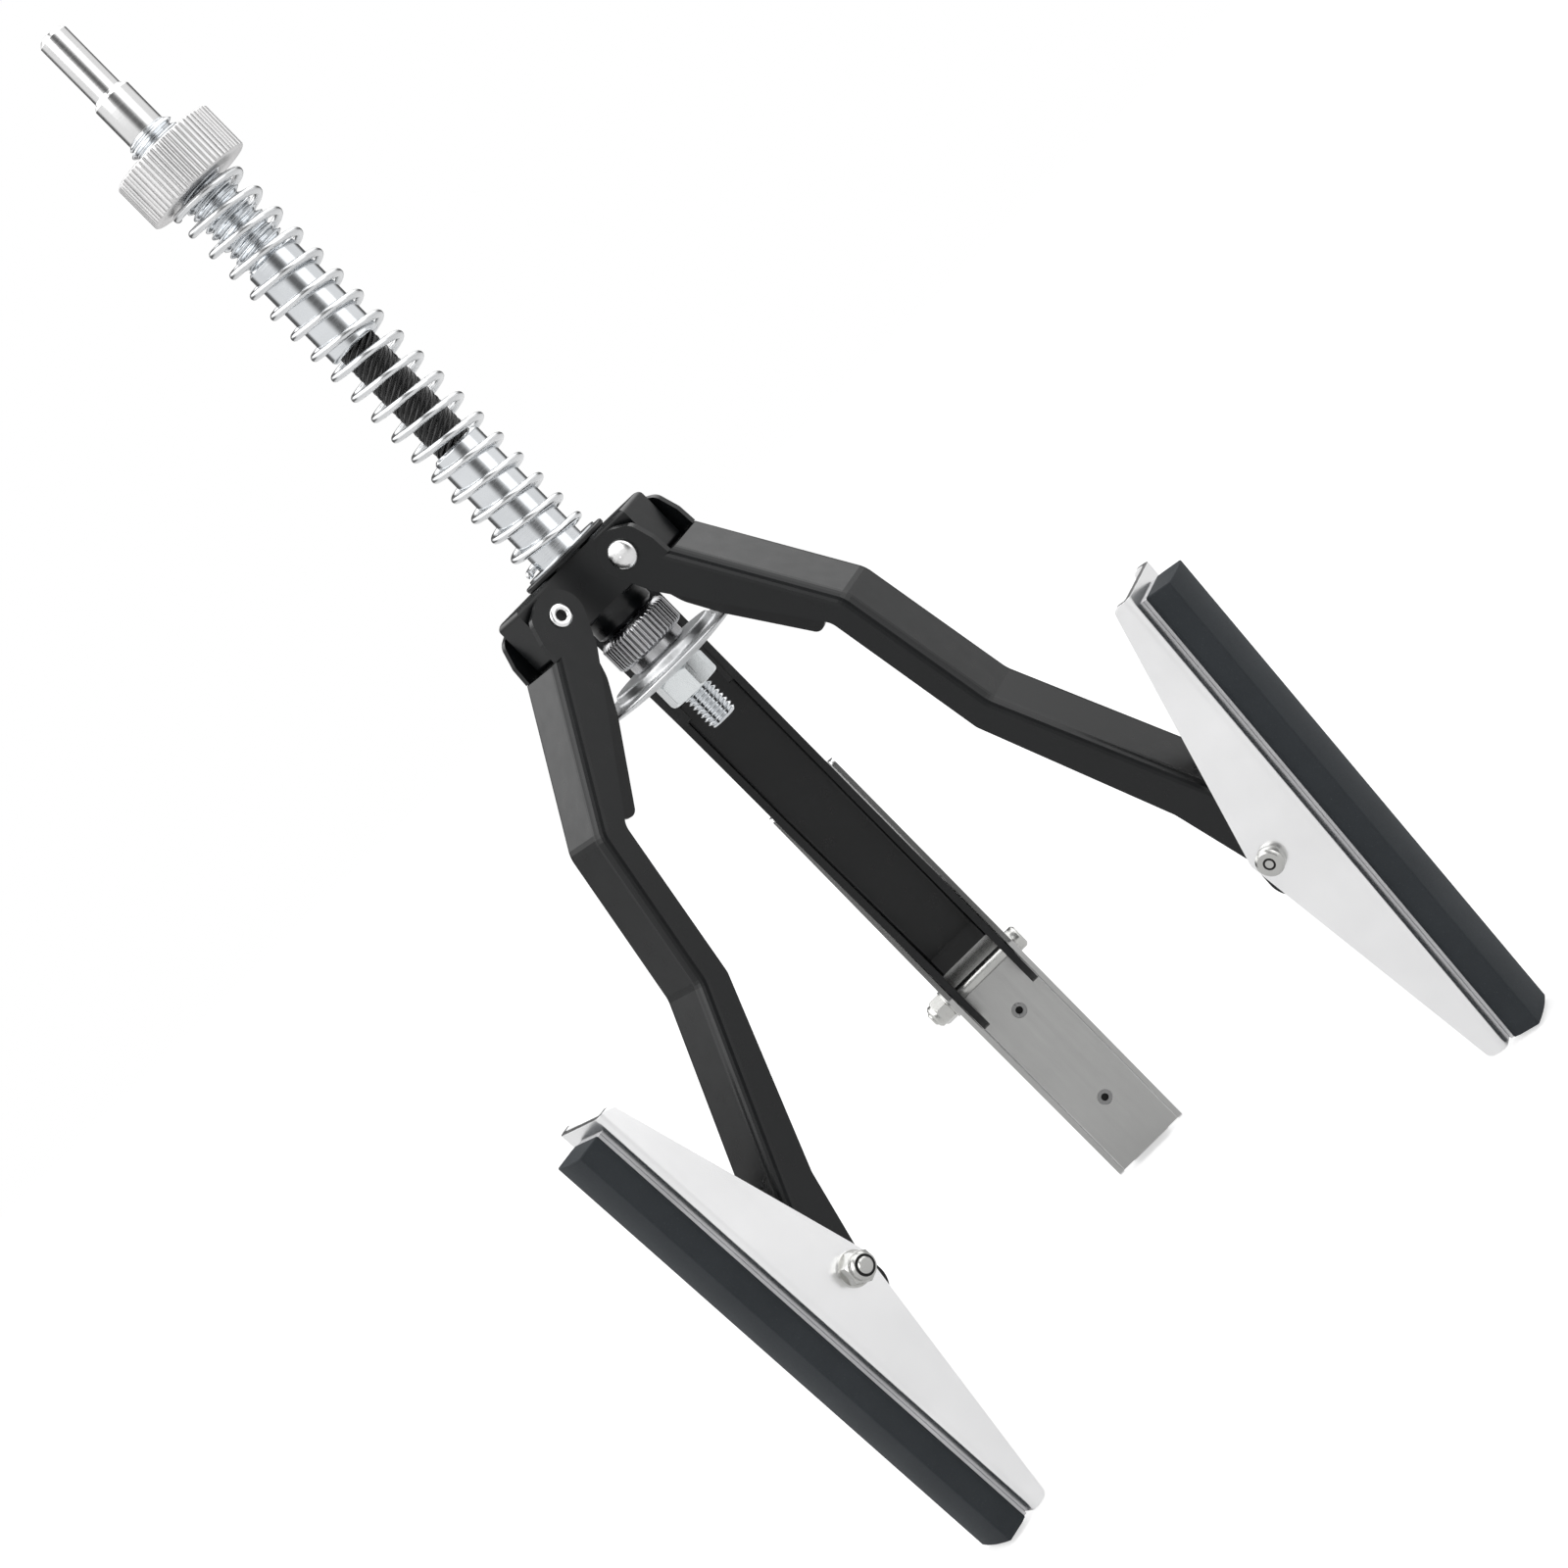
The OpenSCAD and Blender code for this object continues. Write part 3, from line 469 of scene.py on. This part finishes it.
# ---------------------------------------------------------------- spring, in four stretches
FLATTER = 0.35            # how much less than the others the coils at each end climb
WIRE_POINTS, RINGS_PER_TURN, FEWEST_RINGS = 16, 56, 8
TAIL = 2 * WIRE_R         # straight wire at the spring's two ends
TAIL_SHARE, TAIL_CUT = 0.72, 0.22       # the chamfer at a tail's end: how narrow it gets, how long it is
WIRE_SHARP = 50
TINY = 1e-5               # a step along the turns, to find the wire's direction
SEARCH_POINTS = 20001
SPRING_HELD = -23.5       # the first height listed for the spring's upper stretch; nothing reads it


def eased(u):
    """The share of the spring's height that is reached at the share u of its turns."""
    end = (1 + FLATTER) / (2 * TURNS)
    low = end * (1 - FLATTER)
    middle = low + (u - end) * (1 - 2 * low) / (1 - 2 * end)
    last = 1 - (1 - u) * (1 - FLATTER)
    return np.where(u < end, u * (1 - FLATTER), np.where(u > 1 - end, last, middle))


def coil(u):
    """The middle of the wire at the share u of its turns, from the top."""
    angle = math.pi + 2 * math.pi * TURNS * u
    z = SPRING_TOP + (SPRING_BOTTOM - SPRING_TOP) * eased(u)
    return np.stack([COIL_R * np.cos(angle), COIL_R * np.sin(angle), z], -1)


def u_at(z):
    """The share of the turns at which the wire has come down to the height z."""
    grid = np.linspace(0, 1, SEARCH_POINTS)
    return float(np.interp(-z, -coil(grid)[:, 2], grid))


def direction_at(u):
    return coil(np.array(min(u + TINY, 1))) - coil(np.array(max(u - TINY, 0)))


def wire(name, u_start, u_end, top_tail, low_tail):
    """The wire from u_start down to u_end, with a chamfered tail at an end of the spring."""
    count = max(FEWEST_RINGS, int((u_end - u_start) * TURNS * RINGS_PER_TURN))
    line = coil(np.linspace(u_start, u_end, count + 1))
    if top_tail:
        line = np.vstack([line[0] + [0.0, TAIL, 0.0], line])
    if low_tail:
        line = np.vstack([line, line[-1] - [0.0, TAIL, 0.0]])
    ahead = np.gradient(line, axis=0)
    if not top_tail:
        ahead[0] = direction_at(u_start)
    if not low_tail:
        ahead[-1] = direction_at(u_end)
    ahead /= np.linalg.norm(ahead, axis=1)[:, None]
    side = np.cross(UP, ahead)
    side /= np.linalg.norm(side, axis=1)[:, None]
    over = np.cross(ahead, side)
    t = np.linspace(0, 2 * math.pi, WIRE_POINTS, endpoint=False)[None, :, None]
    rows = line[:, None, :] + WIRE_R * (side[:, None, :] * np.cos(t) + over[:, None, :] * np.sin(t))
    if top_tail:
        end = line[0] + (rows[:1] - line[0]) * TAIL_SHARE
        rows[0] += ahead[0] * TAIL_CUT
        rows = np.vstack([end, rows])
    if low_tail:
        end = line[-1] + (rows[-1:] - line[-1]) * TAIL_SHARE
        rows[-1] -= ahead[-1] * TAIL_CUT
        rows = np.vstack([rows, end])
    return rows_mesh(name, rows[:, ::-1], cap_first=top_tail, cap_last=low_tail, sharp=WIRE_SHARP)


# each stretch: its name, its first body, its second body, and its first and second height
STRETCHES = (
    ("spring_upper", "spring", "drive_shaft", SPRING_HELD, BEND_TOP),
    ("spring_bend_upper", "drive_shaft", "flex_core", BEND_TOP, FLEX_Z),
    ("spring_bend_lower", "flex_core", "lower_shaft", FLEX_Z, BEND_LOW),
    ("spring_lower", "lower_shaft", "hub", BEND_LOW, SPRING_BOTTOM))
cuts = (0.0, u_at(BEND_TOP), u_at(FLEX_Z), u_at(BEND_LOW), 1.0)
for i, (name, body_above, body_below, start, end) in enumerate(STRETCHES):
    stretch = wire(name, cuts[i], cuts[i + 1], top_tail=i == 0, low_tail=i == len(STRETCHES) - 1)
    replaced = ["tension_spring"] if i == 0 else []
    bending_piece(stretch, SPRING, body_above, body_below, start, end, "spring_steel", *replaced)

# ---------------------------------------------------------------- stranded cable, in two stretches
STRANDS, LAY = 10, 11.4                         # LAY is the height of one turn of a strand
STRAND_DEPTH, STRAND_ARC = 0.62, 0.96
WIRES, WIRE_RELIEF, WIRES_WIDTH = 5, 0.03, 0.8  # in each strand
CABLE_POINTS, CABLE_STEP = 200, 0.16
CABLE_SHARP = 70


def cable(name, z_low, z_high):
    """Round strands laid in a screw, each with a fine relief of its wires away from its grooves."""
    t = np.linspace(0, 2 * math.pi, CABLE_POINTS, endpoint=False)
    profile = []
    for z in np.linspace(z_low, z_high, int((z_high - z_low) / CABLE_STEP) + 1):
        phase = (STRANDS * (t / (2 * math.pi) - z / LAY)) % 1.0
        across = 2 * phase - 1
        arc = np.sqrt(np.clip(1 - (STRAND_ARC * across) ** 2, 0, 1))
        wires = WIRE_RELIEF * np.cos(2 * math.pi * WIRES * phase) * (np.abs(across) < WIRES_WIDTH)
        profile.append((CABLE_R - STRAND_DEPTH * (1 - arc) + wires - WIRE_RELIEF, z))
    rows = lathe_rows(profile, CABLE_POINTS)
    return rows_mesh(name, rows, cap_first=z_low < FLEX_Z, cap_last=z_high > FLEX_Z, sharp=CABLE_SHARP)


bending_piece(cable("cable_upper", FLEX_Z, UPPER_Z + CABLE_IN), CABLE,
              "drive_shaft", "flex_core", BEND_TOP, FLEX_Z, "cable", "flexible_cable")
bending_piece(cable("cable_lower", LOWER_Z - CABLE_IN, FLEX_Z), CABLE,
              "flex_core", "lower_shaft", FLEX_Z, BEND_LOW, "cable")

# ---------------------------------------------------------------- lower shaft
STUD_POINTS = 64

lower = turned("lower_ferrule_tube", [
    (0.0, FOOT_Z), (STUD_R, FOOT_Z), (LOWER_R - SMALL_CHAMFER, FOOT_Z, EDGE),
    (LOWER_R, FOOT_Z + SMALL_CHAMFER, EDGE), (LOWER_R, LOWER_Z - CHAMFER, 0.35),
    (LOWER_R - CHAMFER, LOWER_Z, MOUTH_ROUND), (CABLE_R + CHAMFER, LOWER_Z, EDGE),
    (CABLE_R + MOUTH_PLAY, LOWER_Z - MOUTH_EDGE, EDGE),
    (CABLE_R + MOUTH_PLAY, LOWER_Z - MOUTH_DEPTH)])
piece(lower, ZINC, "lower_shaft", "zinc_shaft", "lower_ferrule")

stud = threaded("stud_thread", STUD_Z, LIMIT_TOP + STUD_JOIN, STUD_R, STUD_DEPTH, STUD_PITCH,
                STUD_POINTS, fade_low=0.7, fade_high=0.0)
piece(stud, ZINC, "lower_shaft", "zinc_shaft")

limit_nut = knurled("limit_nut_body", LIMIT_R, LIMIT_LOW, LIMIT_TOP, STUD_R + BORE_PLAY,
                    ridges=44, depth=0.42, sharpness=1.9, wobble=0.05, low=0.75, top=1.1, seed=8)
piece(limit_nut, DARK_NUT, "lower_shaft", "dark_nut", "limit_nut")

boss = turned("limit_nut_boss", [
    (STUD_R + BORE_PLAY, BOSS_LOW + SMALL_CHAMFER), (STUD_R + SMALL_CHAMFER, BOSS_LOW, 0.1),
    (BOSS_R - CHAMFER, BOSS_LOW, EDGE), (BOSS_R, BOSS_LOW + CHAMFER, EDGE),
    (BOSS_R, LIMIT_LOW + STUD_JOIN)])
piece(boss, DARK_NUT, "lower_shaft", "dark_nut")

# ---------------------------------------------------------------- finishes of the CAD nodes
dress("spring_washer", ZINC, 0.1)
dress("hub", BLACK, 0.35, 3, flat=True)
dress("expander_disc", DISC, 0.12)
dress("hex_nut", HEX, 0.22, 3)
for number, _, _ in ARMS:
    dress(f"leg_{number}", BLACK)
    dress(f"cam_channel_{number}", CAM)
    dress(f"hub_rivet_{number}", RIVET, 0.12)
    dress(f"shoe_channel_{number}", SHOES[number], 0.2, 3, flat=True)
    dress(f"backing_strip_{number}", STRIP, 0.1, flat=True)
    dress(f"stone_{number}", STONE, 0.3, 3, flat=True)
    dress(f"shoe_bolt_{number}", BOLT, 0.15)
    dress(f"lock_nut_{number}", BOLT, 0.15)
    dress(f"nut_washer_{number}", BOLT, 0.08)
    dress(f"shoe_rivets_{number}", RIM, 0.1)

# ---------------------------------------------------------------- painted shade in the hollows of rivets and bolts
PIN_OUT, PIN_END, PIN_BORE_R = 13.3, 7.2, 0.99        # the hub's pivot rivets
BOLT_OUT, BOLT_DROP = 63.4, 114.3                     # the shoes' bolts, from the axis and the pins
NUT_SIDE, GAP_INNER, GAP_OUTER = 13.46, 1.5, 2.0      # the gap between a bolt's end and its nut
HEAD_SIDE, RECESS_INNER, RECESS_OUTER = 11.06, 0.75, 1.15   # the recess in a bolt's head
RIVET_ROWS = (-38.0, -12.6, 12.6, 38.0)               # the shoe's rivets, along it from the bolt
RIVET_HEAD, RIVET_BORE_R = 10.1, 0.79                 # their heads, outwards from the bolt
DISH = 0.1                                            # how far a bore's middle lies back
BORE_POINTS, RING_POINTS = 24, 32


def circle(centre, normal, radius, count):
    """Points of a circle about a normal that is not upright."""
    u = np.cross(normal, UP)
    u /= np.linalg.norm(u)
    v = np.cross(normal, u)
    angles = [2 * math.pi * k / count for k in range(count)]
    return [centre + radius * (u * math.cos(a) + v * math.sin(a)) for a in angles]


def dark_bores(name, centres, normal, radius):
    """Dished dark discs of painted shade in the ends of hollow rivets; the normal points out of the
    bore.
    """
    verts, faces = [], []
    for centre in centres:
        first = len(verts)
        verts += [centre - normal * DISH] + circle(centre, normal, radius, BORE_POINTS)
        for k in range(BORE_POINTS):
            faces.append((first, first + 1 + k, first + 1 + (k + 1) % BORE_POINTS))
    return to_object(name, verts, faces)


def dark_ring(name, centre, normal, inner, outer):
    """A dark ring of painted shade: the shadow gap between a bolt's end and its lock nut, or round the
    recess in a bolt's head.
    """
    verts = circle(centre, normal, inner, RING_POINTS) + circle(centre, normal, outer, RING_POINTS)
    faces = []
    for k in range(RING_POINTS):
        m = (k + 1) % RING_POINTS
        faces.append((k, RING_POINTS + k, RING_POINTS + m, m))
    return to_object(name, verts, faces)


for number, degrees, lean in ARMS:
    turn, tilt = math.radians(degrees), math.radians(lean)
    out = np.array([math.cos(turn), math.sin(turn), 0.0])
    side = np.array([-math.sin(turn), math.cos(turn), 0.0])
    face = out * math.cos(tilt) - UP * math.sin(tilt)
    along = out * math.sin(tilt) + UP * math.cos(tilt)
    bolt = out * BOLT_OUT + UP * (PIN_Z - BOLT_DROP)
    heads = [bolt + face * RIVET_HEAD + along * row for row in RIVET_ROWS]
    # painted shade: a dark disc in each hollow rivet end on the shoe
    bores = dark_bores(f"shoe_rivet_bore_shade_{number}", heads, -face, RIVET_BORE_R)
    piece(bores, PAINTED_SHADE, f"shoe_{number}", "rivet_steel")
    # painted shade: a dark ring for the shadow gap between the bolt's end and its lock nut
    gap = dark_ring(f"nut_gap_shade_{number}", bolt + side * NUT_SIDE, side, GAP_INNER, GAP_OUTER)
    piece(gap, PAINTED_SHADE, f"shoe_{number}", "bolt_steel")
    # painted shade: a dark ring round the recess in the bolt's head
    recess = dark_ring(f"head_recess_shade_{number}", bolt - side * HEAD_SIDE, -side,
                       RECESS_INNER, RECESS_OUTER)
    piece(recess, PAINTED_SHADE, f"shoe_{number}", "bolt_steel")
    tail = out * PIN_OUT + side * PIN_END + UP * PIN_Z
    # painted shade: a dark disc in the hollow end of the hub's pivot rivet
    piece(dark_bores(f"hub_rivet_bore_shade_{number}", [tail], side, PIN_BORE_R), PAINTED_SHADE,
          f"leg_{number}", "rivet_steel")

# ---------------------------------------------------------------- camera
# The photograph's camera: its place in metres, the way to its right and the way back to it.
CAMERA_PLACE = Vector((0.00766, -0.6087, -0.09374))
CAMERA_LENS, SENSOR_WIDTH = 77.58, 36.0

right = Vector((0.7125, -0.0777, -0.6973)).normalized()
toward = Vector((0.0137, -0.9921, 0.1246)).normalized()
above = toward.cross(right).normalized()
right = above.cross(toward).normalized()
camera_data = bpy.data.cameras.new("camera")
camera_data.sensor_width = SENSOR_WIDTH
camera_data.sensor_fit = "HORIZONTAL"
camera_data.lens = CAMERA_LENS
camera = bpy.data.objects.new("camera", camera_data)
camera.matrix_world = Matrix((
    (right.x, above.x, toward.x, CAMERA_PLACE.x),
    (right.y, above.y, toward.y, CAMERA_PLACE.y),
    (right.z, above.z, toward.z, CAMERA_PLACE.z),
    (0, 0, 0, 1)))
scene = bpy.context.scene
scene.collection.objects.link(camera)
scene.camera = camera
scene.view_settings.view_transform = "Standard"

# ---------------------------------------------------------------- lamps
# Places and sizes are in metres, and every lamp points at LAMPS_AIM.
LAMPS_AIM = Vector((0.0, 0.0, -0.14))


def area_lamp(name, place, size, watts):
    light = bpy.data.lights.new(name, "AREA")
    light.shape = "RECTANGLE"
    light.size, light.size_y = size
    light.energy = watts
    lamp = bpy.data.objects.new(name, light)
    lamp.location = place
    lamp.rotation_euler = (LAMPS_AIM - Vector(place)).to_track_quat("-Z", "Y").to_euler()
    lamp.visible_camera = False
    scene.collection.objects.link(lamp)
    return lamp


area_lamp("key", (-0.6, -0.65, 0.6), (0.9, 0.9), 3.6)
area_lamp("fill", (0.8, -0.6, 0.1), (0.8, 1.0), 1.6)
area_lamp("back", (0.1, 0.9, 0.5), (1.0, 0.8), 2.2).visible_glossy = False

# ---------------------------------------------------------------- background
# Seen straight or through glass the background is white. Metal reflects a studio: a dark opening
# on the photographer's side, white walls beside it, an unlit end behind the object, and a bright
# ceiling. Everything else is lit by a plain half-white.
WHITE = (1, 1, 1, 1)
SKY_LIGHT = 0.5
PHOTOGRAPHER = 0.10       # angle of the opening's middle from -Y about z, in radians

world = bpy.data.worlds.new("studio")
scene.world = world
world.use_nodes = True
world.node_tree.nodes.clear()
sky = Nodes(world.node_tree)


def backdrop(strength):
    return sky.add("ShaderNodeBackground", {"Color": WHITE, "Strength": strength}).outputs[0]


def either(factor, first, second):
    return sky.add("ShaderNodeMixShader", {0: factor, 1: first, 2: second}).outputs[0]


generated = sky.add("ShaderNodeTexCoord").outputs["Generated"]
way = sky.add("ShaderNodeSeparateXYZ", {0: generated}).outputs
azimuth = sky.math("ARCTAN2", way["X"], sky.math("MULTIPLY", way["Y"], -1.0))
offset = sky.math("ABSOLUTE", sky.math("SUBTRACT", azimuth, PHOTOGRAPHER))
opening = sky.soft_step(offset, start=0.10, end=0.62, low=0.16, high=1.0)
walls = sky.soft_step(offset, start=2.0, end=2.4, low=1.0, high=0.12)
height = sky.soft_step(way["Z"], start=0.14, end=0.5, low=0.0, high=2.2)
far_end = sky.soft_step(offset, start=2.75, end=2.95, low=1.0, high=0.0)
ceiling = sky.math("MULTIPLY", height, far_end)
studio = sky.math("MULTIPLY", opening, sky.math("MAXIMUM", walls, ceiling))

rays = sky.add("ShaderNodeLightPath").outputs
lit = either(rays["Is Glossy Ray"], backdrop(SKY_LIGHT), backdrop(studio))
seen = sky.math("MAXIMUM", rays["Is Camera Ray"], rays["Is Transmission Ray"])
sky.add("ShaderNodeOutputWorld", {"Surface": either(seen, lit, backdrop(1.0))})

# ---------------------------------------------------------------- floor
# A pale floor that keeps the object's shadow. Its glow makes up the rest to white where the
# camera sees it, and a part of that in reflections.
FLOOR_SIZE, FLOOR_GAP = 6.0, 0.0006
FLOOR_COLOUR = (0.8, 0.8, 0.8, 1)
FLOOR_GLOW, REFLECTED_SHARE = 0.62, 0.45

bpy.ops.mesh.primitive_plane_add(size=FLOOR_SIZE, location=(0, 0, cad_box[0][2] - FLOOR_GAP))
floor = bpy.context.object
floor.name = "floor"
pale = bpy.data.materials.new("pale_floor")
pale.use_nodes = True
pale.node_tree.nodes.clear()
ground = Nodes(pale.node_tree)
rays = ground.add("ShaderNodeLightPath").outputs
share = ground.math("MULTIPLY_ADD", rays["Is Glossy Ray"], REFLECTED_SHARE, rays["Is Camera Ray"])
strength = ground.math("MULTIPLY", share, FLOOR_GLOW)
glow = ground.add("ShaderNodeEmission", {"Color": WHITE, "Strength": strength})
matt = ground.add("ShaderNodeBsdfDiffuse", {"Color": FLOOR_COLOUR})
both = ground.add("ShaderNodeAddShader", {0: matt.outputs[0], 1: glow.outputs[0]})
ground.add("ShaderNodeOutputMaterial", {"Surface": both.outputs[0]})
floor.data.materials.append(pale)
